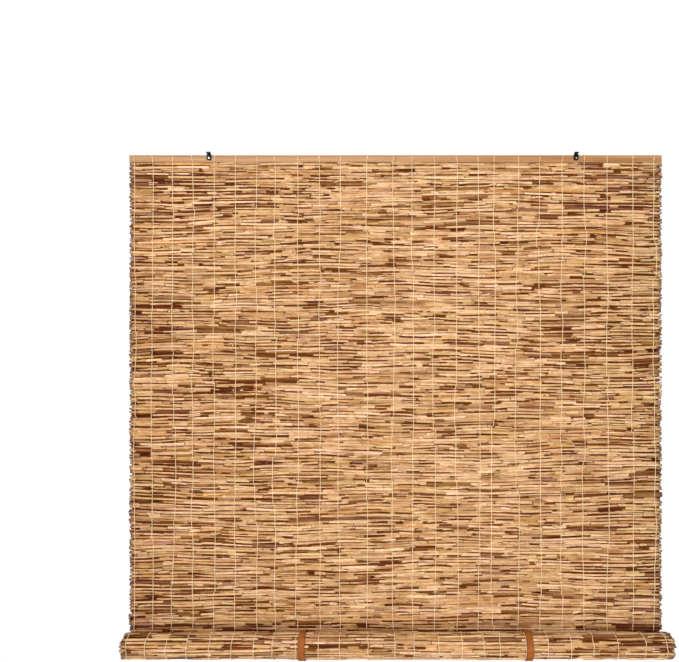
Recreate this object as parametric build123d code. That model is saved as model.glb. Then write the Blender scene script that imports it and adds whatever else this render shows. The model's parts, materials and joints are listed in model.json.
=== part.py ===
from build123d import *
from math import acos, atan2, ceil, copysign, cos, hypot, pi, radians, sin
import os

# A reed roll-up blind, let down and strapped part-way.
# Millimetres. +X runs along the head rail, +Y away from the viewer, +Z up.
# The origin is on the line through the seats of both hooks, at the blind's middle.

# Sheet of reeds
blind_width = 900.0
reed_pitch = 5.39
reed_depth = 4.4
reed_crest = 2.6
reed_web = 0.8
hanging_rows = 150
ragged_ends = 3.4
sheet_gap = 0.25

# Slits left where two reeds bow apart, scattered over the rows and over the width
slit_count = 20
slit_height = 0.9
slit_shortest = 16.0
slit_longest = 39.0
slit_first_row = 3
slit_rows_apart = 31
slit_width_share = 0.618

# Head rail and bottom rail
rail_height = 12.0
rail_depth = 4.6
rail_crown = 0.5
rail_edge_radius = 0.7

# Hooks, each a strip of steel held by one screw, set in from the ends of the head rail
hook_left_inset = 135.0
hook_right_inset = 145.0
hook_strip = 1.0
hook_seat_radius = 1.6
hook_seat_above_rail = 1.5
hook_tab_width = 8.5
hook_neck_width = 6.3
hook_tab_drop = 8.8
hook_lip_angle = 205.0

# Screws
screw_shank_radius = 1.0
screw_head_radius = 1.8
screw_head_height = 1.1
screw_length = 4.8
screw_slot_width = 0.5
screw_slot_depth = 0.5
screw_slot_length = 2.4
screw_clearance = 0.1

# Roll
roll_radius = 19.8
turn_pitch = 5.0
wind_share = 0.68
roll_shift = 3.6
core_gap = 0.7

# Straps, set in from the sides of the sheet
strap_width = 11.0
strap_thickness = 1.6
strap_left_inset = 297.1
strap_right_inset = 231.6
strap_gap = 0.5
strap_end_rise = 12.5
strap_tail_drop = 8.0
strap_layer_gap = 0.9
strap_play = 0.4
strap_bend = 0.8
strap_sides = 24

# Snap fasteners
snap_rise = 5.0
snap_cap_radius = 4.6
snap_cap_rise = 1.4
snap_cap_wall = 0.6
snap_flange_radius = 3.2
snap_flange = 0.5
snap_socket_radius = 2.5
snap_socket_wall = 0.9
snap_stud_radius = 1.5
snap_stud_neck = 1.1
snap_stud_head = 0.8
snap_stud_height = 4.2
snap_play = 0.1

# Warp threads, by their spacing from left to right as woven
thread_width = 1.2
thread_thickness = 0.5
thread_gap = 0.1
thread_crest_gap = 0.25
thread_margin = 9.5
thread_side_gap = 1.0
thread_end_rise = 14.6
thread_spacing = [31, 33, 34, 36, 36, 36, 31, 38, 37, 35, 45, 44]
thread_spacing += [32, 39, 38, 35, 27, 42, 35, 38, 37, 39, 44, 35]

# Places worked out from the sizes above
rail_top = -hook_seat_above_rail
rail_bottom = rail_top - rail_height
curl_radius = hook_seat_radius + hook_strip / 2
rail_front = curl_radius + hook_strip / 2
sheet_y = rail_front + rail_depth / 2
sheet_top = rail_bottom - sheet_gap
sheet_length = hanging_rows * reed_pitch
roll_z = sheet_top - sheet_length
roll_y = sheet_y - roll_radius
screw_z = rail_top - rail_height / 2
slat_half_diagonal = hypot(rail_height / 2, rail_depth / 2)
core_radius = slat_half_diagonal + core_gap + reed_depth / 2
widest_turn = roll_radius + reed_depth / 2
strap_inside = widest_turn + strap_gap
strap_radius = strap_inside + strap_thickness / 2
strap_corner = roll_radius - reed_depth / 2 - strap_thickness / 2
strap_rows_up = ceil((strap_radius**2 - strap_corner**2) ** 0.5 / reed_pitch)
strap_slit_rise = strap_rows_up * reed_pitch
strap_corner_angle = atan2(strap_slit_rise, strap_corner)
strap_leave_angle = strap_corner_angle + acos(strap_radius / hypot(strap_slit_rise, strap_corner))
outer_layer = strap_radius + strap_thickness + strap_layer_gap
hook_places = (hook_left_inset - blind_width / 2, blind_width / 2 - hook_right_inset)
strap_places = (strap_left_inset - blind_width / 2, blind_width / 2 - strap_right_inset)
nip_angle = pi * (1 + wind_share)
row_shares = (0, 0.5 - reed_crest / reed_pitch / 2, 0.5 + reed_crest / reed_pitch / 2, 1)


def side_view(shape, x):
    """Puts a section drawn as (depth, height) into the Y-Z plane at x."""
    return Plane.YZ.offset(x) * shape


def off(place, reach):
    """A point at a reach from the sheet's middle line, where a place is (y, z, out_y, out_z)."""
    y, z, out_y, out_z = place
    return (y + out_y * reach, z + out_z * reach)


def reed_row(places, x_from, x_to):
    """One row of reeds. Its places are the valley before, both edges of the crest, and the next valley."""
    reaches = [reed_web / 2, reed_depth / 2, reed_depth / 2, reed_web / 2]
    outer = [off(place, reach) for place, reach in zip(places, reaches)]
    inner = [off(place, -reach) for place, reach in zip(places, reaches)]
    section = make_face(Polyline(*outer, *reversed(inner), close=True))
    return extrude(side_view(section, x_from), amount=x_to - x_from)


def ragged(row, side):
    """How far a row stands out of line at one end. The rows never repeat in step."""
    return ragged_ends * sin(row * 2.4 + side * 1.1) * cos(row * 0.37 + side)


def woven(rows, middle_x):
    """Joins rows, each a list of four places, into one sheet about middle_x."""
    bars = []
    for number, places in enumerate(rows):
        left = middle_x - blind_width / 2 + ragged(number, 0)
        right = middle_x + blind_width / 2 + ragged(number, 1)
        bars.append(reed_row(places, left, right))
    return bars[0].fuse(*bars[1:])


def hanging_place(rows_down):
    """The middle line of the hanging sheet. Its far side is out, as it is on the roll."""
    return (sheet_y, sheet_top - rows_down * reed_pitch, 1.0, 0.0)


def turn_radius(angle):
    """Radius of the roll's middle line after winding through angle, from where the sheet meets it.

    Each turn runs round, and steps in by one layer over its last stretch, beside the sheet.
    """
    turns = angle / (2 * pi)
    whole = int(turns)
    step = max(0.0, (turns - whole - wind_share) / (1 - wind_share))
    eased = step * step * (3 - 2 * step)
    return roll_radius - turn_pitch * (whole + eased)


def rolled_place(angle):
    """The middle line of the roll: the sheet comes down its far side, under it and up its front."""
    radius = turn_radius(angle)
    out_y = cos(angle)
    out_z = -sin(angle)
    return (roll_y + radius * out_y, roll_z + radius * out_z, out_y, out_z)


def roll_angles():
    """Angles of the valleys between rows, one reed apart along the winding, in to the core."""
    angles = [sheet_gap / roll_radius]
    while True:
        half_way = angles[-1] + reed_pitch / 2 / turn_radius(angles[-1])
        if turn_radius(half_way) < core_radius:
            return angles
        angles.append(angles[-1] + reed_pitch / turn_radius(half_way))


def beside_fittings(x):
    """Moves a thread that would run under a hook or into a strap to the side of it."""
    fittings = [(place, hook_tab_width) for place in hook_places]
    fittings += [(place, strap_width + 2 * strap_play) for place in strap_places]
    for place, width in fittings:
        reach = (width + thread_width) / 2 + thread_side_gap
        if abs(x - place) < reach:
            return place + copysign(reach, x - place)
    return x


def thread_places():
    """Where the warp threads cross the sheet. A wider sheet goes on with the same spacing."""
    places = [thread_margin - blind_width / 2]
    last = blind_width / 2 - thread_margin
    while True:
        spacing = thread_spacing[(len(places) - 1) % len(thread_spacing)]
        if places[-1] + spacing > last:
            return [beside_fittings(x) for x in places]
        places.append(places[-1] + spacing)


def reed_mat():
    """The sheet that hangs: ridged rows, fine slits, and a slit for each strap."""
    rows = [[hanging_place(row + share) for share in row_shares] for row in range(hanging_rows)]
    sheet = woven(rows, 0)
    through = 3 * reed_depth
    openings = []
    free_rows = hanging_rows - strap_rows_up - 2 * slit_first_row
    free_width = blind_width - 2 * slit_longest
    for number in range(slit_count):
        row = slit_first_row + (number * slit_rows_apart) % free_rows
        length = slit_shortest + (slit_longest - slit_shortest) * abs(sin(number))
        x = -free_width / 2 + (number * slit_width_share * free_width) % free_width
        place = (x, sheet_y, hanging_place(row)[1])
        openings.append(Pos(*place) * Box(length, through, slit_height))
    strap_z = roll_z + strap_slit_rise
    for x in strap_places:
        size = (strap_width + 2 * strap_play, through, strap_thickness + 2 * strap_play)
        openings.append(Pos(x, sheet_y, strap_z) * Box(*size))
    return sheet.cut(*openings)


def reed_roll():
    """The rolled end of the sheet, one solid wound from the far side in to the core."""
    angles = roll_angles()
    rows = []
    for start, end in zip(angles, angles[1:]):
        rows.append([rolled_place(start + (end - start) * share) for share in row_shares])
    return woven(rows, roll_shift)


def rail_section():
    """Section of a bamboo slat: a flat back, rounded edges and the skin's slight crown in front."""
    flat = rail_depth - rail_crown
    back = rail_depth / 2
    half = rail_height / 2
    outline = make_face(
        Line((back, -half), (back, half))
        + Line((back, half), (back - flat, half))
        + ThreePointArc((back - flat, half), (-back, 0), (back - flat, -half))
        + Line((back - flat, -half), (back, -half))
    )
    return fillet(outline.vertices(), rail_edge_radius)


def head_rail():
    """The top slat, with a hole for each hook's screw."""
    place = side_view(Pos(sheet_y, rail_top - rail_height / 2) * rail_section(), -blind_width / 2)
    rail = extrude(place, amount=blind_width)
    for x in hook_places:
        hole = Cylinder(screw_shank_radius + screw_clearance / 4, 2 * rail_depth)
        rail -= Pos(x, sheet_y, screw_z) * Rot(90, 0, 0) * hole
    return rail


def bottom_rail():
    """The slat at the core of the roll, with its edge against the last reed."""
    last_angles = roll_angles()[-2:]
    y, z, out_y, out_z = rolled_place(sum(last_angles) / 2)
    inward = reed_depth / 2 + core_gap + rail_height / 2
    tilt = Plane(
        origin=(roll_shift - blind_width / 2, y - out_y * inward, z - out_z * inward),
        x_dir=(0, -out_z, out_y),
        z_dir=(1, 0, 0),
    )
    return extrude(tilt * rail_section(), amount=blind_width)


def hook(x):
    """A strip bent from the rail's face into an open curl, and trimmed to a tab and a neck."""
    tab_bottom = rail_top - hook_tab_drop
    lip = radians(hook_lip_angle)
    curl_end = (curl_radius * cos(lip), curl_radius * sin(lip))
    bend = Line((curl_radius, tab_bottom), (curl_radius, 0))
    bend += ThreePointArc((curl_radius, 0), (0, curl_radius), curl_end)
    strip = trace(bend, hook_strip)
    bent = extrude(side_view(strip, x - hook_tab_width / 2), amount=hook_tab_width)
    tab = hook_tab_width / 2
    neck = hook_neck_width / 2
    shoulder = tab - neck
    top = curl_radius + hook_strip
    half = Polyline(
        (0, tab_bottom),
        (tab - shoulder, tab_bottom),
        (tab, tab_bottom + 2 * shoulder),
        (tab, rail_top),
        (neck, rail_top + shoulder),
        (neck, top),
        (0, top),
    )
    outline = make_face(half + mirror(half, Plane.YZ))
    front = extrude(Plane.XZ.offset(-2 * rail_depth) * Pos(x, 0) * outline, amount=6 * rail_depth)
    hole = Cylinder(screw_shank_radius + screw_clearance, 2 * rail_depth)
    return (bent & front) - Pos(x, rail_front, screw_z) * Rot(90, 0, 0) * hole


def hook_screw(x):
    """A short pan-head screw through the tab into the rail, with a crossed slot."""
    head_back = rail_front - hook_strip
    points = [
        (0, -screw_head_height),
        (screw_head_radius, -screw_head_height),
        (screw_head_radius, 0),
        (screw_shank_radius, 0),
        (screw_shank_radius, screw_length),
        (0, screw_length),
    ]
    body = revolve(make_face(Polyline(*points, close=True)), Axis.Y)
    for turn in (0, 90):
        slot = Box(screw_slot_length, 2 * screw_slot_depth, screw_slot_width)
        body -= Pos(0, -screw_head_height, 0) * Rot(0, turn, 0) * slot
    return Pos(x, head_back, screw_z) * body


def ribbon(points, thickness):
    """Section of a thin band along a middle line of points (depth, height), with mitred bends."""
    runs = [(Vector(b) - Vector(a)).normalized() for a, b in zip(points, points[1:])]
    left = []
    right = []
    for point, before, after in zip(points, [runs[0], *runs], [*runs, runs[-1]]):
        across = Vector(-before.Y - after.Y, before.X + after.X).normalized()
        reach = thickness / 2 / (across.Y * before.X - across.X * before.Y)
        left.append(Vector(point) + across * reach)
        right.append(Vector(point) - across * reach)
    return make_face(Polyline(*left, *reversed(right), close=True))


def strap_line():
    """Middle line of a strap about the roll's axis, from its end under the snap to its tail."""
    sweep = 2 * pi - strap_leave_angle
    bends = [sweep * number / strap_sides for number in range(strap_sides + 1)]
    loop = [Vector(cos(angle), -sin(angle)) * strap_radius for angle in bends]
    corner = Vector(strap_corner, strap_slit_rise)
    towards_loop = (loop[-1] - corner).normalized()
    tail = [
        corner + towards_loop * strap_bend,
        corner + Vector(strap_bend, 0),
        Vector(outer_layer - strap_bend, strap_slit_rise),
        Vector(outer_layer, strap_slit_rise - strap_bend),
        Vector(outer_layer, -strap_tail_drop),
    ]
    return [Vector(strap_radius, strap_end_rise), *loop, *tail]


def strap(x):
    """Leather band round the roll. It goes through the sheet above the roll and closes behind."""
    section = Pos(roll_y, roll_z) * ribbon(strap_line(), strap_thickness)
    band = extrude(side_view(section, x - strap_width / 2), amount=strap_width)
    for radius, depth in ((snap_stud_neck, strap_radius), (snap_socket_radius, outer_layer)):
        hole = Cylinder(radius + snap_play, strap_thickness + strap_layer_gap)
        band -= Pos(x, roll_y + depth, roll_z + snap_rise) * Rot(90, 0, 0) * hole
    return band


def turned(points, x, y):
    """A round snap part from its half section (radius, depth), about a line through the straps."""
    profile = make_face(Polyline(*points, close=True))
    return Pos(x, y, roll_z + snap_rise) * revolve(profile, Axis.Y)


def snap_stud(x):
    """The inner half: a flange under the leather and a post with a swollen end."""
    points = [
        (0, 0),
        (snap_flange_radius, 0),
        (snap_flange_radius, snap_flange),
        (snap_stud_neck, snap_flange),
        (snap_stud_neck, snap_stud_height - snap_stud_head),
        (snap_stud_radius, snap_stud_height - snap_stud_head),
        (snap_stud_radius, snap_stud_height),
        (0, snap_stud_height),
    ]
    return turned(points, x, roll_y + strap_inside - snap_flange)


def snap_cap(x):
    """The outer half: a cap behind the leather, with the socket that grips the post."""
    inside = outer_layer - strap_thickness / 2
    outside = outer_layer + strap_thickness / 2
    bore = snap_socket_radius - snap_socket_wall
    points = [
        (bore, inside),
        (snap_socket_radius, inside),
        (snap_socket_radius, outside),
        (snap_cap_radius, outside),
        (snap_cap_radius, outside + snap_cap_rise),
        (0, outside + snap_cap_rise),
        (0, outside + snap_cap_rise - snap_cap_wall),
        (bore, outside + snap_cap_rise - snap_cap_wall),
    ]
    return turned(points, x, roll_y)


def hung_thread(x):
    """A warp thread: over the head rail, down the front to the nip and down the back to the roll."""
    front_end = roll_z + thread_end_rise
    back_end = roll_z

    def loop(reach):
        front = sheet_y - rail_depth / 2 - reach
        back = sheet_y + rail_depth / 2 + reach
        top = rail_top + reach
        corner = (2 - 2**0.5) * (rail_edge_radius + reach)
        return [
            (front, top - corner),
            (front + corner, top),
            (back - corner, top),
            (back, top - corner),
        ]

    outer = loop(thread_gap + thread_thickness)
    inner = loop(thread_gap)
    points = [(outer[0][0], front_end), *outer, (outer[-1][0], back_end)]
    points += [(inner[-1][0], back_end), *reversed(inner), (inner[0][0], front_end)]
    section = make_face(Polyline(*points, close=True))
    return extrude(side_view(section, x - thread_width / 2), amount=thread_width)


def rolled_thread(x):
    """The same thread round the roll's outer turn, from the far side to the nip."""
    valleys = [angle for angle in roll_angles() if angle < nip_angle]
    crests = [rolled_place((a + b) / 2) for a, b in zip(valleys, valleys[1:])]
    reach = reed_depth / 2 + thread_crest_gap + thread_thickness / 2
    section = ribbon([off(crest, reach) for crest in crests], thread_thickness)
    return extrude(side_view(section, x - thread_width / 2), amount=thread_width)


def build():
    """Every piece by its name."""
    left, right = hook_places
    strap_left, strap_right = strap_places
    places = thread_places()
    return {
        "head_rail": head_rail(),
        "hook_left": hook(left),
        "hook_right": hook(right),
        "hook_screw_left": hook_screw(left),
        "hook_screw_right": hook_screw(right),
        "reed_mat": reed_mat(),
        "reed_roll": reed_roll(),
        "bottom_rail": bottom_rail(),
        "warp_threads": Compound(children=[hung_thread(x) for x in places]),
        "roll_threads": Compound(children=[rolled_thread(x + roll_shift) for x in places]),
        "strap_left": strap(strap_left),
        "strap_right": strap(strap_right),
        "snap_stud_left": snap_stud(strap_left),
        "snap_stud_right": snap_stud(strap_right),
        "snap_cap_left": snap_cap(strap_left),
        "snap_cap_right": snap_cap(strap_right),
    }


os.makedirs("parts", exist_ok=True)
for name, piece in build().items():
    export_step(piece, f"parts/{name}.step")
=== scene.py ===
import json
from math import acos, atan2, cos, hypot, pi, sin

import bpy
import numpy as np
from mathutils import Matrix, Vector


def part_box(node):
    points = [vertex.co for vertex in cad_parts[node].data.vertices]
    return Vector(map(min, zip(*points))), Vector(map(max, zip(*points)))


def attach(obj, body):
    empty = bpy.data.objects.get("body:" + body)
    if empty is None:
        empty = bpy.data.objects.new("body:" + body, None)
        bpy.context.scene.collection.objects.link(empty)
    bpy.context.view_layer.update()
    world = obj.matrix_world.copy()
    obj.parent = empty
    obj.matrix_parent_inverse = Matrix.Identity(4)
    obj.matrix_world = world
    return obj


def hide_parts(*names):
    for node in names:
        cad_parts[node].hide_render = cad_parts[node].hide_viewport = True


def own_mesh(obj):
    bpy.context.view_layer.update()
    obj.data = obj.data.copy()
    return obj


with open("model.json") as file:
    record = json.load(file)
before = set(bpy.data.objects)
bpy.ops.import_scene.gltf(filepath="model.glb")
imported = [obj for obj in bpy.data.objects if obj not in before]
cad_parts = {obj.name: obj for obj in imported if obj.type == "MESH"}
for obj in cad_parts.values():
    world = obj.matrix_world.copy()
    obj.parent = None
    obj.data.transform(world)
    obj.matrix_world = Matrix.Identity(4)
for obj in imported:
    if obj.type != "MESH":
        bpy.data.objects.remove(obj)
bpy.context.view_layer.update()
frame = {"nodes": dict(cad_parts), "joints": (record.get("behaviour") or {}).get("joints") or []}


# Head rail and bottom rail
# Two slats split from a thick bamboo stem: a planed back and the hard, slightly crowned skin in
# front. The head rail carries the hooks and the threads, the bottom rail is wound in at the core.

mm = 0.001
nodes = frame["nodes"]
drift_pace = 0.22
half_joint_spacing = 310 * mm
half_joint_width = 1.6 * mm
joint_strength = 0.45


def put(tree, kind, inputs=(), **settings):
    """A shader node with its settings and its inputs, each a value or another node's output."""
    made = tree.nodes.new("ShaderNode" + kind)
    for name, value in settings.items():
        setattr(made, name, value)
    for name, value in dict(inputs).items():
        if isinstance(value, bpy.types.NodeSocket):
            tree.links.new(value, made.inputs[name])
        else:
            made.inputs[name].default_value = value
    return made


def shades(tree, along, *stops):
    """A colour ramp from (place, colour) stops, with colours as plain 0 to 1 light."""
    ramp = put(tree, "ValToRGB", {"Fac": along})
    while len(ramp.color_ramp.elements) < len(stops):
        ramp.color_ramp.elements.new(0.5)
    for element, (place, colour) in zip(ramp.color_ramp.elements, stops):
        element.position = place
        element.color = (*colour, 1)
    return ramp.outputs["Color"]


def blend_of(tree, how, share, first, second):
    """Two colours mixed in one way, such as MULTIPLY or MIX, by a share."""
    mixed = tree.nodes.new("ShaderNodeMix")
    mixed.data_type = "RGBA"
    mixed.blend_type = how
    for socket, value in ((0, share), (6, first), (7, second)):
        if isinstance(value, bpy.types.NodeSocket):
            tree.links.new(value, mixed.inputs[socket])
        else:
            mixed.inputs[socket].default_value = value
    return mixed.outputs[2]


def finish_named(name):
    """An empty material with its shader and its tree."""
    material = bpy.data.materials.new(name)
    material.use_nodes = True
    tree = material.node_tree
    tree.nodes.clear()
    shader = put(tree, "BsdfPrincipled")
    output = put(tree, "OutputMaterial", {"Surface": shader.outputs["BSDF"]})
    output.name = "surface"
    return material, tree, shader


def dress(tree, shader, colour, rough, bump, shine=0.5):
    """Joins a finish's colour, roughness and bump to its shader. Shine is how much it mirrors."""
    tree.links.new(colour, shader.inputs["Base Color"])
    tree.links.new(rough.outputs[0], shader.inputs["Roughness"])
    tree.links.new(bump.outputs[0], shader.inputs["Normal"])
    shader.inputs["Specular IOR Level"].default_value = shine


def group_named(name, inputs, outputs):
    """An empty node group with number inputs, each (name, value), and (name, kind) outputs."""
    group = bpy.data.node_groups.new(name, "ShaderNodeTree")
    for label, value in inputs:
        socket = group.interface.new_socket(label, in_out="INPUT", socket_type="NodeSocketFloat")
        socket.default_value = value
    for label, kind in outputs:
        group.interface.new_socket(label, in_out="OUTPUT", socket_type=kind)
    entry = group.nodes.new("NodeGroupInput")
    leave = group.nodes.new("NodeGroupOutput")
    return group, entry, leave


def cane_grain_group():
    """Fibres along a stem: how many there are in a metre across it, and their length in metres."""
    group, entry, leave = group_named(
        "cane grain",
        [("Fibres", 1500.0), ("Length", 0.03)],
        [("Streaks", "NodeSocketFloat"), ("Drift", "NodeSocketFloat")],
    )
    place = put(group, "TexCoord").outputs["Object"]
    along = put(group, "Math", {0: 1.0, 1: entry.outputs["Length"]}, operation="DIVIDE")
    stretch = put(
        group,
        "CombineXYZ",
        {"X": along.outputs[0], "Y": entry.outputs["Fibres"], "Z": entry.outputs["Fibres"]},
    )
    stretched = put(group, "VectorMath", {0: place, 1: stretch.outputs[0]}, operation="MULTIPLY")
    streaks = put(
        group, "TexNoise", {"Vector": stretched.outputs[0], "Scale": 1.0, "Detail": 3.0, "Roughness": 0.65}
    )
    slow = put(group, "VectorMath", {0: stretched.outputs[0], "Scale": drift_pace}, operation="SCALE")
    drift = put(group, "TexNoise", {"Vector": slow.outputs[0], "Scale": 1.0, "Detail": 2.0})
    group.links.new(streaks.outputs["Fac"], leave.inputs["Streaks"])
    group.links.new(drift.outputs["Fac"], leave.inputs["Drift"])
    return group


cane_grain = cane_grain_group()


def bamboo_finish():
    """Varnished bamboo skin: golden tan, with long fibres, a darker joint and a soft shine."""
    material, tree, shader = finish_named("bamboo skin")
    grain = put(tree, "Group", node_tree=cane_grain)
    grain.inputs["Fibres"].default_value = 900.0
    grain.inputs["Length"].default_value = 0.045
    tone = shades(
        tree,
        grain.outputs["Drift"],
        (0.25, (0.285, 0.127, 0.043)),
        (0.5, (0.395, 0.196, 0.079)),
        (0.75, (0.475, 0.257, 0.115)),
    )
    fibre = shades(tree, grain.outputs["Streaks"], (0.3, (0.72, 0.70, 0.68)), (0.62, (1.0, 1.0, 1.0)))
    coloured = blend_of(tree, "MULTIPLY", 0.8, tone, fibre)
    place = put(tree, "SeparateXYZ", {0: put(tree, "TexCoord").outputs["Object"]})
    stem = put(tree, "Math", {0: place.outputs["X"], 1: half_joint_spacing}, operation="PINGPONG")
    joint = put(tree, "Math", {0: stem.outputs[0], 1: half_joint_width}, operation="LESS_THAN")
    joint_mask = put(tree, "Math", {0: joint.outputs[0], 1: joint_strength}, operation="MULTIPLY")
    coloured = blend_of(tree, "MIX", joint_mask.outputs[0], coloured, (0.24, 0.11, 0.045, 1))
    rough = put(tree, "MapRange", {"Value": grain.outputs["Drift"], "To Min": 0.32, "To Max": 0.5})
    bump = put(tree, "Bump", {"Height": grain.outputs["Streaks"], "Strength": 0.35, "Distance": 0.2 * mm})
    dress(tree, shader, coloured, rough, bump, shine=0.2)
    return material


def finish_node(name, material):
    """Gives a piece that keeps its machined shape its real finish."""
    nodes[name].data.materials.clear()
    nodes[name].data.materials.append(material)


bamboo = bamboo_finish()
for slat in ("head_rail", "bottom_rail"):
    finish_node(slat, bamboo)


# Hanging hooks and their screws
# Two strips of steel, bent into an open curl and dipped in black lacquer. Each is held to the head
# rail by one short bright screw with a crossed slot.

def wear_group():
    """Handling marks: broad blotches and fine scratches, as a mask and a height."""
    group, entry, leave = group_named(
        "handling marks",
        [("Blotches", 90.0), ("Scratches", 900.0)],
        [("Mask", "NodeSocketFloat"), ("Height", "NodeSocketFloat")],
    )
    place = put(group, "TexCoord").outputs["Object"]
    broad = put(group, "TexNoise", {"Vector": place, "Scale": entry.outputs["Blotches"], "Detail": 3.0})
    fine = put(group, "TexNoise", {"Vector": place, "Scale": entry.outputs["Scratches"], "Detail": 5.0})
    both = put(group, "Math", {0: broad.outputs["Fac"], 1: fine.outputs["Fac"]}, operation="MULTIPLY")
    mask = put(group, "MapRange", {"Value": both.outputs[0], "From Min": 0.12, "From Max": 0.42})
    group.links.new(mask.outputs[0], leave.inputs["Mask"])
    group.links.new(fine.outputs["Fac"], leave.inputs["Height"])
    return group


handling_marks = wear_group()


def metal_finish(name, dull, bright, metallic, roughness, shine=0.5):
    """Lacquered or bare metal with handling marks. Roughness is (where polished, where dull)."""
    material, tree, shader = finish_named(name)
    marks = put(tree, "Group", node_tree=handling_marks)
    marks.inputs["Blotches"].default_value = 240.0
    marks.inputs["Scratches"].default_value = 2600.0
    colour = shades(tree, marks.outputs["Mask"], (0.2, dull), (0.8, bright))
    rough = put(
        tree, "MapRange", {"Value": marks.outputs["Mask"], "To Min": roughness[1], "To Max": roughness[0]}
    )
    bump = put(tree, "Bump", {"Height": marks.outputs["Height"], "Strength": 0.2, "Distance": 0.1 * mm})
    dress(tree, shader, colour, rough, bump, shine)
    shader.inputs["Metallic"].default_value = metallic
    return material


# Painted highlight on the screw head: bright in the middle, painted dark towards the rim
highlight_reach = 0.45
highlight_fade_reach = 0.75
painted_dark_rim_colour = (0.03, 0.03, 0.03, 1)


def screw_finish():
    """Plated steel with a painted highlight: bright in the middle, painted dark towards the rim."""
    material = metal_finish("zinc plated steel", (0.5, 0.48, 0.44), (0.86, 0.83, 0.78), 1.0, (0.24, 0.42))
    tree = material.node_tree
    shader = tree.nodes["Principled BSDF"]
    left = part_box("hook_screw_left")[0]
    right, right_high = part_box("hook_screw_right")
    half_head = (right_high.x - right.x) / 2
    half_way = (left.x + right.x) / 2 + half_head
    half_apart = (right.x - left.x) / 2
    middle_height = (right.z + right_high.z) / 2
    place = put(tree, "SeparateXYZ", {0: put(tree, "TexCoord").outputs["Object"]})
    from_half_way = put(tree, "Math", {0: place.outputs["X"], 1: half_way}, operation="SUBTRACT")
    either_side = put(tree, "Math", {0: from_half_way.outputs[0]}, operation="ABSOLUTE")
    across = put(tree, "Math", {0: either_side.outputs[0], 1: half_apart}, operation="SUBTRACT")
    up = put(tree, "Math", {0: place.outputs["Z"], 1: middle_height}, operation="SUBTRACT")
    off_axis = put(tree, "CombineXYZ", {"X": across.outputs[0], "Y": up.outputs[0]})
    reach = put(tree, "VectorMath", {0: off_axis.outputs[0]}, operation="LENGTH")
    rim_range = {"From Min": highlight_reach * half_head, "From Max": highlight_fade_reach * half_head}
    rim = put(tree, "MapRange", {"Value": reach.outputs["Value"], **rim_range})
    worn = shader.inputs["Base Color"].links[0].from_socket
    coloured = blend_of(tree, "MIX", rim.outputs[0], worn, painted_dark_rim_colour)
    tree.links.new(coloured, shader.inputs["Base Color"])
    return material


black_lacquer = metal_finish(
    "black lacquer", (0.004, 0.004, 0.004), (0.013, 0.012, 0.012), 0.0, (0.35, 0.5), shine=0.12
)
screw_steel = screw_finish()
for side in ("left", "right"):
    finish_node(f"hook_{side}", black_lacquer)
    finish_node(f"hook_screw_{side}", screw_steel)


# Reeds of the hanging sheet
# Dry stalks, 2 to 5 mm thick, laid side by side and end to end in 150 rows, with flat ones in the valleys,
# most of them painted dark as the shade there. Both edges are trimmed by hand and left ragged. The threads
# hold them.

reed_rows = 150
rows_left_hanging = 13
middle_rows_end = 81
sheet_low, sheet_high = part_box("reed_mat")
sheet_y = (sheet_low.y + sheet_high.y) / 2
row_pitch = (sheet_high.z - sheet_low.z) / reed_rows
half_width = 450 * mm
edge_raggedness = 1.5 * mm
edge_weathered = 9 * mm
edge_reach = 6 * mm

# Brightness from 0 to 255: (middle, spread) as a rule, and (lowest, highest) for the dark stalks
row_bright = (187, 13)
row_dark = (92, 134)
row_dark_share = 0.06
valley_bright = (150, 18)
# Dark valley stalks are painted shade, the shade down in the valleys between the rows
valley_painted_shade = (44, 76)
valley_painted_shade_share = 0.56
darkest_reed = 34
brightest_reed = 212

# Painted light: darker away from its brightest place, with painted shade at the left edge and in the nip
painted_light_middle_x = 100 * mm
painted_light_falloff = 10
# Painted shade along the left edge; the right edge is only a little darker
painted_left_edge_shade = 30
right_edge_darker = 8
edge_fade = 22 * mm
# Painted shadow in the nip, on the rows just above the roll
painted_nip_shadow = 24
nip_shadow_row = 145
nip_shadow_rows = 2

# How red and blue differ from the brightness, and the shifts of umber, green and russet stalks
redder = (42, 2)
less_blue = (46, 3)
pale_above = 165
pale_less_red = 0.12
pale_more_blue = 0.2
right_edge_less_red = 12
# Darkest tones, mostly the painted shade in the valleys, turn redder, as deep shade in reed does
darkest_tones_below = 90
painted_shade_redder = 9
umber = (-8, -9, 13)
umber_below = 150
green = (-4, 1, -8)
russet = (2, -6, -16)
row_umber_share = 0.45
valley_umber_share = 0.12
green_up_to = 0.15
russet_up_to = 0.24


def as_light(colour):
    """A screen colour, 0 to 255, as plain light."""
    share = np.asarray(colour, float) / 255
    return np.where(share <= 0.04045, share / 12.92, ((share + 0.055) / 1.055) ** 2.4)


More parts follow.
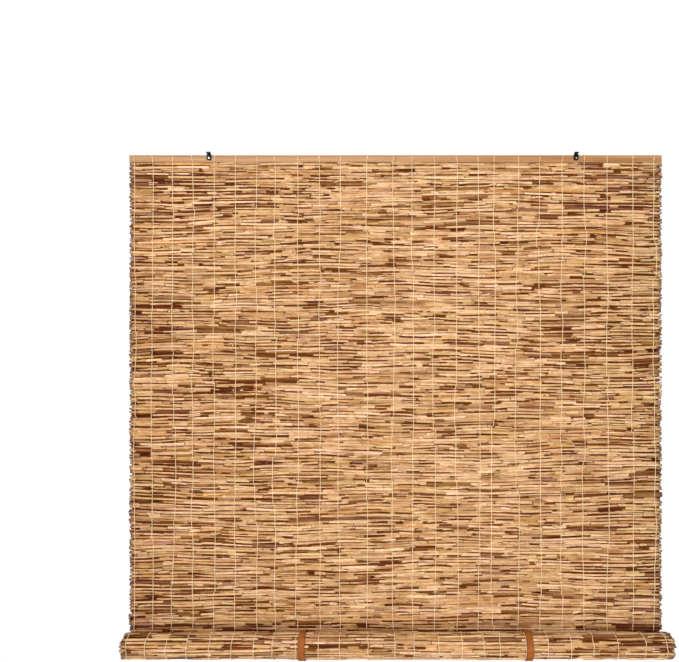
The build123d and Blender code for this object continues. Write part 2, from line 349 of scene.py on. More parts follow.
def reed_tone(draw, x, row, in_valley):
    """A stalk's colour: straw to tan, with some dark, umber, green or russet, and painted shade."""
    # Painted light falloff from the brightest place, painted shade at the left edge and in the nip
    span = half_width + painted_light_middle_x if x < painted_light_middle_x else half_width - painted_light_middle_x
    far = min(1.0, abs(x - painted_light_middle_x) / span) ** 2
    near_edge = np.exp((abs(x) - half_width) / edge_fade)
    nip_shadow = np.exp(-(((row - nip_shadow_row) / nip_shadow_rows) ** 2))
    at_left = x < 0

    bright = draw.normal(*(valley_bright if in_valley else row_bright))
    # Dark valley stalks are painted shade, and more stalks are dark away from the light's brightest place
    if draw.uniform() < (valley_painted_shade_share if in_valley else row_dark_share) * (1 + far / 2):
        bright = draw.uniform(*(valley_painted_shade if in_valley else row_dark))
    bright -= painted_light_falloff * far + painted_nip_shadow * nip_shadow
    bright -= (painted_left_edge_shade if at_left else right_edge_darker) * near_edge
    bright = float(np.clip(bright, darkest_reed, brightest_reed))

    pale = max(0.0, bright - pale_above)
    red = bright + draw.normal(*redder) - pale_less_red * pale
    red -= 0 if at_left else right_edge_less_red * near_edge
    red += painted_shade_redder if bright < darkest_tones_below else 0
    blue = bright - draw.normal(*less_blue) + pale_more_blue * pale
    tone = np.array([red, bright, blue])

    kind = draw.uniform()
    if kind < (valley_umber_share if in_valley else row_umber_share) and bright < umber_below:
        tone += umber
    elif kind < green_up_to:
        tone += green
    elif kind < russet_up_to and bright > darkest_tones_below:
        tone += russet
    return as_light(np.clip(tone, 8, 254))


def carried(path, section, side, scale=None):
    """Corners of a section of (sideways, outward) pairs, carried along a path and scaled on the way."""
    path = np.asarray(path, float)
    side = np.asarray(side, float)
    along = np.gradient(path, axis=0)
    along /= np.linalg.norm(along, axis=1, keepdims=True)
    outward = np.cross(along, side)
    outward /= np.linalg.norm(outward, axis=1, keepdims=True)
    sized = np.ones(len(path)) if scale is None else np.asarray(scale)
    sideways = section[None, :, 0, None] * side * sized[:, None, None]
    lifted = section[None, :, 1, None] * outward[:, None, :] * sized[:, None, None]
    return path[:, None, :] + sideways + lifted


def ring_of(corners, half_wide, half_thick):
    """An oval section."""
    turn = np.arange(corners) * 2 * pi / corners
    return np.stack([half_wide * np.cos(turn), half_thick * np.sin(turn)], axis=1)


def made_of(name, lengths, material, tone_name):
    """One object of many lengths. Each is (corners as rings, tone of each ring with its mask)."""
    corners = []
    faces = []
    tones = []
    count = 0
    for rings, ring_tones in lengths:
        total, around = rings.shape[:2]
        corners.append(rings.reshape(-1, 3))
        tones.append(np.repeat(ring_tones, around, axis=0))
        for ring in range(total - 1):
            near = count + ring * around
            far = near + around
            for corner in range(around):
                beside = (corner + 1) % around
                faces.append((near + corner, near + beside, far + beside, far + corner))
        faces.append(tuple(range(count + around - 1, count - 1, -1)))
        last = count + (total - 1) * around
        faces.append(tuple(range(last, last + around)))
        count += total * around
    mesh = bpy.data.meshes.new(name)
    mesh.from_pydata(np.concatenate(corners).tolist(), [], faces)
    colours = mesh.color_attributes.new(tone_name, "FLOAT_COLOR", "POINT")
    colours.data.foreach_set("color", np.concatenate(tones).astype(np.float32).ravel())
    mesh.polygons.foreach_set("use_smooth", [len(face) == 4 for face in faces])
    mesh.materials.append(material)
    mesh.update()
    piece = bpy.data.objects.new(name, mesh)
    bpy.context.scene.collection.objects.link(piece)
    return piece


# Waves of the rows: each its height in mm, and how fast it turns along x and from row to row
row_waves = ((2.4, 5.1, 0.05), (1.5, 13.7, -0.1), (0.8, 29.3, 0.2), (0.5, 61.3, -0.31))
stiffer_rows = 12
least_freedom = 0.3


def sway(x, row):
    """How far a row lies above its even place at x: the slow waves of a sheet woven by hand."""
    from_roll = max(least_freedom, (reed_rows - row) / stiffer_rows)
    freedom = min(1.0, row / stiffer_rows, from_roll) * mm
    return freedom * sum(height * np.sin(x * along + row * down) for height, along, down in row_waves)


# A stalk in the front of a row. Its stoutness, taper and ends are shares of its radius
stalk_radius = 2.2 * mm
stalk_stoutness = (1.1, 0.13)
stalk_thinnest = 0.76
stalk_thickest = 1.25
stalk_length = 42 * mm
stalk_shortest = 15 * mm
stalk_longest = 320 * mm
stalk_overlap = (1 * mm, 3 * mm)
stalk_left_out = 5 * mm
stalk_end_cut = 2.0 * mm
stalk_end_size = 0.85
stalk_corners = 7
stalk_rings = 6
stalk_taper = 0.08
stalk_unevenness = 0.03
stalk_play = 1.5 * mm
stalk_set_in = (-0.4, 0.6)
stalk_lean = 1.2
stalk_deepest = 1.2 * mm
stalk_proudest = 0.3 * mm
stalk_looseness = 0.5 * mm
length_spread = 0.6
twin_share = 0.45
twin_step = 1.3 * mm
twin_size = 0.66
twin_looseness = 0.45 * mm
twin_corners = 6

# How dark a cut end is, from 0 to 1, partly the reed's darker end and partly painted shade where a stalk
# ends, and the grey brown of the weathered ends at the edges
cut_end_dark = (0.5, 1.0)
edge_end_least_dark = 0.1
# The left ends are painted darker than the right, as painted shade at the left edge
left_end_most_dark = 0.95
right_end_most_dark = 0.6
weathered_end = (148, 122, 104)
weathered_share = 0.7


def stalk(draw, start, end, row, place, section, tone, rings, looseness):
    """One stalk from start to end in x, with dark or weathered ends. Its place is (y, z, out_y, out_z)."""
    y, z, out_y, out_z = place
    length = end - start
    at_left = start < edge_reach - half_width
    at_right = end > half_width - edge_reach
    first_cut = min(edge_weathered if at_left else stalk_end_cut, length / 4)
    last_cut = length - min(edge_weathered if at_right else stalk_end_cut, length / 4)
    between = np.linspace(first_cut, last_cut, rings - 2)[1:-1]
    stops = np.concatenate([[0, first_cut], between, [last_cut, length]])
    share = stops / length
    across = draw.normal(0, looseness) + draw.normal(0, 2 * looseness) * (share - 0.5)
    across += draw.normal(0, looseness / 2) * np.sin(pi * share)
    across = np.clip(across, -stalk_play, stalk_play) - sway(start + stops, row)
    outward = draw.normal(*stalk_set_in) * looseness
    outward = outward + draw.normal(0, stalk_lean) * looseness * (share - 0.5)
    outward = np.clip(outward, -stalk_deepest, stalk_proudest)
    depth = y + out_y * outward - out_z * across
    height = z + out_z * outward + out_y * across
    path = np.stack([start + stops, depth, height], axis=1)
    taper = 1 + draw.normal(0, stalk_taper) * (share - 0.5) + draw.normal(0, stalk_unevenness, rings)
    taper[[0, -1]] *= stalk_end_size
    body = carried(path, section, (0, -out_z, out_y), taper)
    ring_tones = np.concatenate([np.tile(tone, (rings, 1)), np.zeros((rings, 1))], axis=1)
    for ring, at_edge, most in ((0, at_left, left_end_most_dark), (-1, at_right, right_end_most_dark)):
        ring_tones[ring, 3] = draw.uniform(*((edge_end_least_dark, most) if at_edge else cut_end_dark))
        if at_edge:
            ring_tones[ring, :3] = (1 - weathered_share) * tone + weathered_share * as_light(weathered_end)
    return body, ring_tones


def laid_row(draw, row, place, left, right, thickness):
    """Stalks end to end over one row, nearly half of them as two thin ones in place of a thick one."""
    lengths = []
    y, z, out_y, out_z = place
    x = left - draw.uniform(0, stalk_length / 2)
    while x < right:
        run = draw.lognormal(np.log(stalk_length), length_spread)
        run = float(np.clip(run, stalk_shortest, stalk_longest))
        start = max(x, left)
        end = min(x + run, right)
        x += run - draw.uniform(*stalk_overlap)
        if end - start < stalk_left_out:
            continue
        radius = thickness * float(np.clip(draw.normal(*stalk_stoutness), stalk_thinnest, stalk_thickest))
        if draw.uniform() > twin_share:
            tone = reed_tone(draw, (start + end) / 2, row, False)
            section = ring_of(stalk_corners, radius, radius)
            lengths.append(stalk(draw, start, end, row, place, section, tone, stalk_rings, stalk_looseness))
            continue
        for step in (-twin_step, twin_step):
            beside = (y - out_z * step, z + out_y * step, out_y, out_z)
            tone = reed_tone(draw, (start + end) / 2, row, False)
            section = ring_of(twin_corners, twin_size * radius, twin_size * radius)
            lengths.append(stalk(draw, start, end, row, beside, section, tone, stalk_rings, twin_looseness))
    return lengths


# A flat stalk in the valley between two rows
valley_half_height = 3.0 * mm
valley_half_depth = 1.6 * mm
valley_length = 22 * mm
valley_shortest = 7 * mm
valley_longest = 120 * mm
valley_overlap = 1.5 * mm
valley_depth = 0.15 * mm
valley_looseness = 0.08 * mm
valley_corners = 6
valley_rings = 4
valley_inset = (1 * mm, 4 * mm)
first_row_filler = 0.58


def laid_valley(draw, row, place, stretches):
    """Flat stalks in the valley below a row, more than half of them painted dark as the valley's shade."""
    lengths = []
    y, z, out_y, out_z = place
    place = (y - out_y * valley_depth, z - out_z * valley_depth, out_y, out_z)
    section = ring_of(valley_corners, valley_half_height, valley_half_depth)
    for left, right in stretches:
        x = left
        while x < right:
            run = draw.lognormal(np.log(valley_length), length_spread)
            end = min(x + float(np.clip(run, valley_shortest, valley_longest)), right)
            tone = reed_tone(draw, (x + end) / 2, row, True)
            past = min(end + valley_overlap, right)
            body = stalk(draw, x, past, row + 0.5, place, section, tone, valley_rings, valley_looseness)
            lengths.append(body)
            x = end
    return lengths


def hanging_place(rows_down):
    """A place (y, z, out_y, out_z) on the hanging sheet, whose front looks at the viewer."""
    return (sheet_y, sheet_high.z - rows_down * row_pitch, -1.0, 0.0)


def reed_finish():
    """Dry reed: each stalk in its given tone with painted shade, fibres, cut ends darkened partly by
    painted shade, and a dull shine.
    """
    material, tree, shader = finish_named("dry reed")
    own = put(tree, "Attribute", attribute_name="reed_tone")
    grain = put(tree, "Group", node_tree=cane_grain)
    grain.inputs["Fibres"].default_value = 700.0
    grain.inputs["Length"].default_value = 0.009
    fibre = shades(tree, grain.outputs["Streaks"], (0.3, (0.6, 0.47, 0.34)), (0.62, (1.0, 1.0, 1.0)))
    coloured = blend_of(tree, "MULTIPLY", 0.9, own.outputs["Color"], fibre)
    patch = shades(tree, grain.outputs["Drift"], (0.3, (0.62, 0.48, 0.34)), (0.52, (1.0, 1.0, 1.0)))
    coloured = blend_of(tree, "MULTIPLY", 0.9, coloured, patch)
    # Cut ends darkened: the reed's darker end, and painted shade where a stalk ends
    coloured = blend_of(tree, "MIX", own.outputs["Alpha"], coloured, (0.09, 0.026, 0.006, 1))
    rough = put(tree, "MapRange", {"Value": grain.outputs["Streaks"], "To Min": 0.5, "To Max": 0.75})
    bump = put(tree, "Bump", {"Height": grain.outputs["Streaks"], "Strength": 0.45, "Distance": 0.3 * mm})
    dress(tree, shader, coloured, rough, bump, shine=0.07)
    return material


dry_reed = reed_finish()


# The slits that the straps go through
strap_width = 11 * mm
strap_slit_play = 1 * mm
strap_slit_rows_up = 3
strap_slit_thins_reeds = 0.84
strap_places = [sum(corner.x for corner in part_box(f"strap_{side}")) / 2 for side in ("left", "right")]


def sheet_piece(name, first_row, last_row, seed):
    """Rows of the hanging sheet from one row to another, with the valleys below them."""
    draw = np.random.default_rng(seed)
    reeds = []
    fillers = []
    for row in range(first_row, last_row):
        left = -half_width - draw.normal(0, 1) * edge_raggedness / 2
        right = half_width + draw.normal(0, 1) * edge_raggedness / 2
        beside_slit = reed_rows - strap_slit_rows_up - 1 <= row <= reed_rows - strap_slit_rows_up
        thickness = stalk_radius * (strap_slit_thins_reeds if beside_slit else 1.0)
        reeds += laid_row(draw, row, hanging_place(row + 0.5), left, right, thickness)
        edges = [left + draw.uniform(*valley_inset), right - draw.uniform(*valley_inset)]
        if row == 0:
            fillers += laid_valley(draw, row, hanging_place(first_row_filler), [tuple(edges)])
        if row + 1 == reed_rows - strap_slit_rows_up:
            half_slit = strap_width / 2 + strap_slit_play
            edges[1:1] = [x + side * half_slit for x in strap_places for side in (-1, 1)]
        stretches = list(zip(edges[::2], edges[1::2]))
        fillers += laid_valley(draw, row, hanging_place(row + 1), stretches)
    return (
        made_of(f"{name}_reeds", reeds, dry_reed, "reed_tone"),
        made_of(f"{name}_thin_reeds", fillers, dry_reed, "reed_tone"),
    )


gathered_from = (0, sheet_y, hanging_place(rows_left_hanging)[1])
upper_pieces = sheet_piece("upper_sheet", 0, rows_left_hanging, seed=11)
gathered_pieces = sheet_piece("middle_sheet", rows_left_hanging, middle_rows_end, seed=12)
gathered_pieces += sheet_piece("lower_sheet", middle_rows_end, reed_rows, seed=14)
for piece in upper_pieces + gathered_pieces:
    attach(piece, "hung_part")
for piece in gathered_pieces:
    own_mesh(piece)
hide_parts("reed_mat")


# Rolled end of the sheet
# The same reeds, 47 more rows, wound two and three quarter times round the bottom rail. The sheet
# comes down behind, goes under and up the front. The roll has slid a little to the right.

roll_joint = next(joint for joint in frame["joints"] if joint["name"] == "roll_turn")
roll_y, roll_z = roll_joint["pos_m"][1:]
roll_radius = sheet_y - roll_y
turn_pitch = 5.0 * mm
wind_share = 0.68
core_radius = 9.3 * mm
roll_shift = 3.6 * mm
roll_raggedness = 1.8 * mm
roll_valley_inset = 2 * mm
first_valley = 0.25 * mm


def turn_radius(angle):
    """Radius of the winding, which steps in by one layer over the last stretch of each turn."""
    turns = angle / (2 * pi)
    whole = int(turns)
    step = max(0.0, (turns - whole - wind_share) / (1 - wind_share))
    return roll_radius - turn_pitch * (whole + step * step * (3 - 2 * step))


def rolled_place(angle):
    """A place (y, z, out_y, out_z) on the roll, from the far side, under it and up its front."""
    radius = turn_radius(angle)
    return (roll_y + radius * cos(angle), roll_z - radius * sin(angle), cos(angle), -sin(angle))


def roll_angles():
    """Angles of the valleys between rows, in to the core."""
    angles = [first_valley / roll_radius]
    while True:
        half_way = angles[-1] + row_pitch / 2 / turn_radius(angles[-1])
        if turn_radius(half_way) < core_radius:
            return angles
        angles.append(angles[-1] + row_pitch / turn_radius(half_way))


def roll_pieces(seed):
    """Every row of the roll, with its ends more ragged than the sheet's."""
    draw = np.random.default_rng(seed)
    angles = roll_angles()
    reeds = []
    fillers = []
    for number, (valley, next_valley) in enumerate(zip(angles, angles[1:])):
        row = reed_rows + number
        left = roll_shift - half_width - draw.normal(0, 1) * roll_raggedness / 2
        right = roll_shift + half_width + draw.normal(0, 1) * roll_raggedness / 2
        reeds += laid_row(draw, row, rolled_place((valley + next_valley) / 2), left, right, stalk_radius)
        stretch = (left + roll_valley_inset, right - roll_valley_inset)
        fillers += laid_valley(draw, row, rolled_place(next_valley), [stretch])
    return (
        made_of("roll_reeds", reeds, dry_reed, "reed_tone"),
        made_of("roll_thin_reeds", fillers, dry_reed, "reed_tone"),
    )


rolled = roll_pieces(seed=13)
for piece in rolled:
    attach(piece, "rolled_part")
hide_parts("reed_roll")


# Warp threads
# Twenty-five cotton threads, looped over the head rail and bound round every row of reeds, with one
# length in front and one behind. They run down to the roll and round it.

thread_half_width = 0.52 * mm
thread_half_depth = 0.34 * mm
thread_corners = 6
thread_wander = 1.0 * mm
thread_drift = 0.5
thread_jitter = 0.25
thread_slips = 0.04
thread_slip_size = 1.4
thread_lean = 1.6 * mm
thread_dip = 0.5 * mm
thread_cream = (238, 208, 166)
thread_varies = 0.02
thread_soils = 0.06
calm_rows = rows_left_hanging + 2
calm_share = 0.3
front_end_drop = 1.6 * mm
wound_calm_share = 0.8
wound_lift = 0.15 * mm
wound_dip = 0.45 * mm
rail_low, rail_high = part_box("head_rail")
rail_gap = 0.1 * mm
rail_corner = 1.2 * mm
rail_lap = 0.5 * mm
nip_angle = pi * (1 + wind_share)
tail_x = -422 * mm
tail_height = 4.5 * mm


def thread_places():
    """Where the threads cross the sheet, from the sides of the plain threads."""
    sides = sorted({round(vertex.co.x, 5) for vertex in nodes["warp_threads"].data.vertices})
    return [(low + high) / 2 for low, high in zip(sides[::2], sides[1::2])]


def wandering(draw, steps):
    """How far a thread strays sideways at each step: a slow drift, and slips where a reed let go."""
    turn = np.arange(steps) / steps * 2 * pi
    drift = 0
    for wave in (1, 2, 4, 7):
        size = draw.normal(0, thread_drift)
        drift = drift + size * np.sin(wave * turn + draw.uniform(0, 2 * pi))
    slipped = draw.uniform(size=steps) < thread_slips
    slips = np.where(slipped, draw.normal(0, thread_slip_size, steps), 0).cumsum()
    slips -= np.linspace(slips[0], slips[-1], steps)
    return thread_wander * (drift + slips + draw.normal(0, thread_jitter, steps))


def thread_finish():
    """Unbleached cotton, twisted from two plies."""
    material, tree, shader = finish_named("unbleached cotton")
    own = put(tree, "Attribute", attribute_name="thread_tone")
    place = put(tree, "TexCoord").outputs["Object"]
    leaned = put(tree, "Mapping", {"Vector": place, "Rotation": (0, 0.7, 0)})
    twist_inputs = {"Vector": leaned.outputs[0], "Scale": 420.0, "Distortion": 1.5, "Detail": 2.0}
    twist = put(tree, "TexWave", twist_inputs, bands_direction="Z")
    fluff = put(tree, "TexNoise", {"Vector": place, "Scale": 2400.0, "Detail": 4.0})
    ply = shades(tree, twist.outputs["Fac"], (0.1, (0.7, 0.66, 0.6)), (0.7, (1.0, 1.0, 1.0)))
    coloured = blend_of(tree, "MULTIPLY", 0.7, own.outputs["Color"], ply)
    mixed = put(tree, "Math", {0: twist.outputs["Fac"], 1: fluff.outputs["Fac"]}, operation="ADD")
    bump = put(tree, "Bump", {"Height": mixed.outputs[0], "Strength": 0.5, "Distance": 0.2 * mm})
    rough = put(tree, "MapRange", {"Value": fluff.outputs["Fac"], "To Min": 0.8, "To Max": 0.98})
    dress(tree, shader, coloured, rough, bump)
    shader.inputs["Sheen Weight"].default_value = 0.2
    return material


cotton = thread_finish()


def thread_tone(draw, count):
    """Cream, a little varied from thread to thread and along each."""
    base = as_light(np.array(thread_cream) * draw.normal(1.0, thread_varies))
    along = np.clip(draw.normal(1.0, thread_soils, count), 0.8, 1.1)[:, None]
    return np.concatenate([base * along, np.zeros((count, 1))], axis=1)


def leg(x, y, strays, top_row, bottom_z, reach):
    """Points down one face of the sheet, over each reed and into each valley."""
    top_z = hanging_place(top_row)[1]
    steps = int((top_z - bottom_z) / row_pitch * 2)
    points = []
    for step in range(steps + 1):
        z = top_z - step * row_pitch / 2
        dip = thread_dip if step % 2 == 0 else 0.0
        points.append((x + strays[step], y + reach * (stalk_radius + thread_half_depth - dip), z))
    return points


def hung_threads(seed):
    """The threads in two parts: the loops with the rows that stay, and the rows that gather up."""
    draw = np.random.default_rng(seed)
    section = ring_of(thread_corners, thread_half_width, thread_half_depth)
    front_end = roll_z + strap_slit_rows_up * row_pitch - front_end_drop
    upper = []
    lower = []
    clear = thread_half_depth + rail_gap
    low_clear = clear * 0.8
    boundary = 2 * rows_left_hanging
    stay = gathered_from[2]
    for x in thread_places():
        front = wandering(draw, 2 * reed_rows + 2)
        back = wandering(draw, 2 * reed_rows + 2)
        front[: 2 * calm_rows] *= calm_share
        back[: 2 * calm_rows] *= calm_share
        front_leg = leg(x, sheet_y, front, 0, stay, -1)
        back_leg = leg(x, sheet_y, back, 0, stay, 1)
        lean = draw.normal(0, thread_lean)
        over = [
            (x + front[0], rail_low.y - clear, rail_low.z),
            (x + front[0] + lean, rail_low.y - clear, rail_high.z - rail_corner),
            (x + lean, rail_low.y + rail_lap, rail_high.z + low_clear),
            (x + lean / 2, (rail_low.y + rail_high.y) / 2, rail_high.z + clear),
            (x, rail_high.y - rail_lap, rail_high.z + low_clear),
            (x + back[0], rail_high.y + clear, rail_high.z - rail_corner),
            (x + back[0], rail_high.y + clear, rail_low.z),
        ]
        loop = front_leg[::-1] + over + back_leg
        upper.append((carried(loop, section, (1, 0, 0)), thread_tone(draw, len(loop))))
        for strays, reach, end in ((front, -1, front_end), (back, 1, roll_z)):
            down = leg(x, sheet_y, strays[boundary:], rows_left_hanging, end, reach)
            lower.append((carried(down, section, (1, 0, 0)), thread_tone(draw, len(down))))
    tail = [
        (tail_x, rail_high.y, rail_high.z - 2 * mm),
        (tail_x, rail_high.y + 0.3 * mm, rail_high.z + 0.5 * mm),
        (tail_x + 0.5 * mm, rail_high.y, rail_high.z + tail_height * 0.6),
        (tail_x - 0.4 * mm, rail_high.y - 0.8 * mm, rail_high.z + tail_height),
    ]
    upper.append((carried(tail, section, (1, 0, 0)), thread_tone(draw, len(tail))))
    return (
        made_of("warp_threads_upper", upper, cotton, "thread_tone"),
        made_of("warp_threads_lower", lower, cotton, "thread_tone"),
    )


def wound_threads(seed):
    """The same threads round the outer turn, over each reed and into each valley."""
    draw = np.random.default_rng(seed)
    section = ring_of(thread_corners, thread_half_width, thread_half_depth)
    valleys = [angle for angle in roll_angles() if angle < nip_angle]
    angles = np.interp(np.arange(2 * len(valleys) - 1) / 2, np.arange(len(valleys)), valleys)
    rings = []
    for x in thread_places():
        strays = wandering(draw, len(angles)) * wound_calm_share
        points = []
        for step, angle in enumerate(angles):
            y, z, out_y, out_z = rolled_place(angle)
            dip = wound_dip if step % 2 == 0 else 0.0
            reach = stalk_radius + thread_half_depth + wound_lift - dip
            points.append((x + roll_shift + strays[step], y + out_y * reach, z + out_z * reach))
        rings.append((carried(points, section, (1, 0, 0)), thread_tone(draw, len(points))))
    return made_of("warp_threads_wound", rings, cotton, "thread_tone")


thread_pieces = hung_threads(seed=21)
for piece in thread_pieces:
    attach(piece, "hung_part")
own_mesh(thread_pieces[1])
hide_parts("warp_threads")
wound = wound_threads(seed=22)
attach(wound, "rolled_part")
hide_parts("roll_threads")


# Straps
# Two bands of brown leather, 11 mm wide and 1.6 mm thick, cut and dyed with burnished edges. Each
# goes round the roll and through the sheet above it, and its ends meet behind.

strap_thickness = 1.6 * mm
strap_gap = 0.5 * mm
strap_layer_gap = 0.9 * mm
strap_bend = 0.8 * mm
strap_sides = 48
strap_rounding = 0.35 * mm
strap_flat_from = 1.2 * mm
strap_dark_edge = 0.5 * mm
strap_edge_fade = 0.4 * mm
strap_radius = roll_radius + stalk_radius + strap_gap + strap_thickness / 2
strap_outer = strap_radius + strap_thickness + strap_layer_gap
strap_end_rise = 12.5 * mm
strap_tail_drop = 8.0 * mm
strap_slit_rise = strap_slit_rows_up * row_pitch
strap_corner = roll_radius - stalk_radius - strap_thickness / 2


def leather_finish():
    """Dyed leather: orange brown, finely pebbled, in places lighter from wear, dark at the cut edge."""
    material, tree, shader = finish_named("brown leather")
    edge = put(tree, "Attribute", attribute_name="strap_edge")
    place = put(tree, "TexCoord").outputs["Object"]
    marks = put(tree, "Group", node_tree=handling_marks)
    marks.inputs["Blotches"].default_value = 130.0
    marks.inputs["Scratches"].default_value = 1500.0
    pebbles = put(tree, "TexVoronoi", {"Vector": place, "Scale": 1500.0}, feature="F1")
    colour = shades(
        tree,
        marks.outputs["Mask"],
        (0.1, (0.23, 0.058, 0.010)),
        (0.5, (0.31, 0.088, 0.016)),
        (0.9, (0.39, 0.122, 0.026)),
    )
    coloured = blend_of(tree, "MIX", edge.outputs["Alpha"], colour, (0.12, 0.03, 0.01, 1))
    rough = put(tree, "MapRange", {"Value": marks.outputs["Mask"], "To Min": 0.72, "To Max": 0.55})
    pebble_height = {"Height": pebbles.outputs["Distance"], "Strength": 0.3, "Distance": 0.2 * mm}
    bump = put(tree, "Bump", pebble_height)
    dress(tree, shader, coloured, rough, bump, shine=0.12)
    return material


brown_leather = leather_finish()


def strap_path():
    """Middle line of a strap in (depth, height) about the roll's axis, with eased bends."""
    slit_angle = atan2(strap_slit_rise, strap_corner)
    leave_angle = slit_angle + acos(strap_radius / hypot(strap_slit_rise, strap_corner))
    turns = np.linspace(0, 2 * pi - leave_angle, strap_sides)
    loop = [(strap_radius * cos(turn), -strap_radius * sin(turn)) for turn in turns]
    line = [(strap_radius, strap_end_rise), *loop, (strap_corner, strap_slit_rise)]
    line += [(strap_outer, strap_slit_rise), (strap_outer, -strap_tail_drop)]
    points = np.array(line)
    eased = [points[0]]
    for before, here, after in zip(points, points[1:], points[2:]):
        back = before - here
        onward = after - here
        # Eased where long runs meet, and left as it is along the round of the loop
        if min(hypot(*back), hypot(*onward)) > 3 * strap_bend or hypot(*onward) > 5 * strap_bend:
            start = here + back / hypot(*back) * min(strap_bend, hypot(*back) / 2)
            end = here + onward / hypot(*onward) * min(strap_bend, hypot(*onward) / 2)
            for share in (0, 0.25, 0.5, 0.75, 1):
                eased.append((1 - share) ** 2 * start + 2 * share * (1 - share) * here + share**2 * end)
        else:
            eased.append(here)
    eased.append(points[-1])
    return np.array(eased)


def strap_section():
    """A flat band with rounded edges."""
    half = strap_width / 2
    thick = strap_thickness / 2
    eased = strap_rounding * 0.3
    quarter = [(half, thick - strap_rounding), (half - eased, thick - eased)]
    quarter += [(half - strap_rounding, thick), (half - strap_flat_from, thick), (half / 3, thick)]
    upper = quarter + [(-x, y) for x, y in reversed(quarter)]
    return np.array(upper + [(-x, -y) for x, y in upper])


def strap_piece(name, x):
    """One strap as a mesh, darker along its edges."""
    section = strap_section()
    path = np.array([(x, roll_y + depth, roll_z + height) for depth, height in strap_path()])
    rings = carried(path, section, (1, 0, 0))
    clear = np.zeros((len(path), 4))
    piece = made_of(name, [(rings, clear)], brown_leather, "strap_edge")
    from_middle = np.abs(section[:, 0])
    near_edge = np.clip((from_middle - (strap_width / 2 - strap_dark_edge)) / strap_edge_fade, 0, 1)
    tones = np.zeros((len(path), len(section), 4), np.float32)
    tones[:, :, 3] = near_edge
    piece.data.color_attributes["strap_edge"].data.foreach_set("color", tones.ravel())
    return piece


for side, x in zip(("left", "right"), strap_places):
    strap = strap_piece(f"leather_strap_{side}", x)
    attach(strap, "strap_loops")
    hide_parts(f"strap_{side}")


# Snap fasteners
# A pressed brass cap and a stud on the two ends of each strap, behind the sheet. They click
# together and hold the strap closed round the roll.

snap_metal = metal_finish("worn brass", (0.33, 0.2, 0.08), (0.56, 0.38, 0.17), 1.0, (0.28, 0.48))
for side in ("left", "right"):
    finish_node(f"snap_cap_{side}", snap_metal)
    finish_node(f"snap_stud_{side}", snap_metal)


# Floor and light
# A pale floor well below the hanging blind, which takes its soft shadow and is white further off.
# Three square soft boxes light it, one high on the left, one low on the right and one behind.

floor_z = -1.16
floor_half = 6.0
shadow_reach = (0.2, 0.6)


def seen_directly(tree, paths):
    """One for rays from the camera and for those a shiny surface sends on, else nought."""
    kinds = {0: paths.outputs["Is Camera Ray"], 1: paths.outputs["Is Glossy Ray"]}
    return put(tree, "Math", kinds, operation="MAXIMUM").outputs[0]


def floor_finish():
    """Pale floor with the blind's soft shadow, white further off."""
    material, tree, shader = finish_named("pale floor")
    shader.inputs["Base Color"].default_value = (0.86, 0.86, 0.86, 1)
    shader.inputs["Roughness"].default_value = 0.7
    place = put(tree, "TexCoord").outputs["Object"]
    flat = put(tree, "VectorMath", {0: place}, operation="LENGTH")
    fade = {"Value": flat.outputs["Value"], "From Min": shadow_reach[0], "From Max": shadow_reach[1]}
    far = put(tree, "MapRange", fade, interpolation_type="SMOOTHSTEP")
    white = put(tree, "Emission", {"Color": (1, 1, 1, 1), "Strength": 1.0})
    seen = seen_directly(tree, put(tree, "LightPath"))
    share = put(tree, "Math", {0: far.outputs[0], 1: seen}, operation="MULTIPLY")
    both = put(tree, "MixShader", {0: share.outputs[0], 1: shader.outputs[0], 2: white.outputs[0]})
    tree.links.new(both.outputs[0], tree.nodes["surface"].inputs["Surface"])
    return material


floor_mesh = bpy.data.meshes.new("floor")
corners = [(-floor_half, -floor_half, 0), (floor_half, -floor_half, 0)]
corners += [(floor_half, floor_half, 0), (-floor_half, floor_half, 0)]
floor_mesh.from_pydata(corners, [], [(0, 1, 2, 3)])
floor_mesh.materials.append(floor_finish())
floor = bpy.data.objects.new("floor", floor_mesh)
floor.location = (0, 0, floor_z)
bpy.context.scene.collection.objects.link(floor)


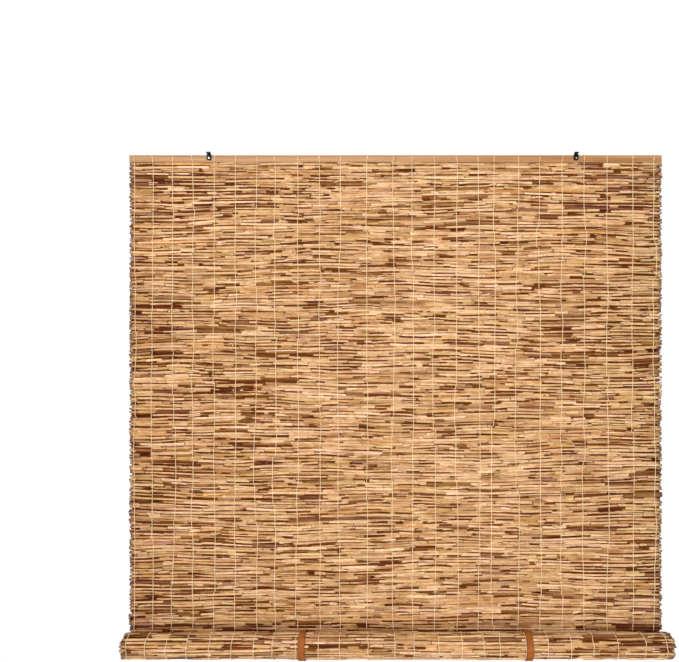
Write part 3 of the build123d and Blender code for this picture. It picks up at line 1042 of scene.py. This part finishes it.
def soft_box(name, place, towards, size, power):
    """A square area lamp that looks at a point."""
    lamp = bpy.data.lights.new(name, "AREA")
    lamp.shape = "SQUARE"
    lamp.size = size
    lamp.energy = power
    holder = bpy.data.objects.new(name, lamp)
    holder.location = place
    aim = np.array(towards) - np.array(place)
    flat = hypot(aim[0], aim[1])
    holder.rotation_euler = (np.arctan2(flat, -aim[2]), 0, np.arctan2(-aim[0], aim[1]))
    bpy.context.scene.collection.objects.link(holder)


sheet_middle = (0, sheet_y, -0.42)
soft_box("key light", (-0.9, -2.8, 1.0), sheet_middle, 1.4, 90)
soft_box("fill light", (1.2, -2.1, -1.2), sheet_middle, 1.6, 38)
soft_box("rear light", (0.6, 2.0, 0.6), sheet_middle, 1.6, 44)

world = bpy.data.worlds.new("studio")
world.use_nodes = True
sky = world.node_tree
sky.nodes.clear()
paths = put(sky, "LightPath")
white_rays = {0: seen_directly(sky, paths), 1: paths.outputs["Is Transmission Ray"]}
white_where = put(sky, "Math", white_rays, operation="MAXIMUM").outputs[0]
ambient = put(sky, "Background", {"Color": (1, 1, 1, 1), "Strength": 0.3}).outputs[0]
white_room = put(sky, "Background", {"Color": (1, 1, 1, 1), "Strength": 1.0}).outputs[0]
either = put(sky, "MixShader", {0: white_where, 1: ambient, 2: white_room})
put(sky, "OutputWorld", {"Surface": either.outputs[0]})
bpy.context.scene.world = world
bpy.context.scene.view_settings.view_transform = "Standard"


# Camera
# It looks straight at the blind from 0.91 m in front of the hooks, nearly level with the middle of
# the blind. The lens is shifted, so that the blind stands low and to the right in the picture.

picture_width = 679
picture_height = 662
focal_pixels = 537.0
principal = (395.5, 413.0)
camera_place = (0.0, -0.905, -0.4376)
sensor_width = 36.0

lens = bpy.data.cameras.new("camera")
lens.sensor_width = sensor_width
lens.lens = sensor_width * focal_pixels / picture_width
lens.shift_x = (picture_width / 2 - principal[0]) / picture_width
lens.shift_y = (principal[1] - picture_height / 2) / picture_width
camera = bpy.data.objects.new("camera", lens)
camera.location = camera_place
camera.rotation_euler = (pi / 2, 0, 0)
bpy.context.scene.collection.objects.link(camera)
bpy.context.scene.camera = camera
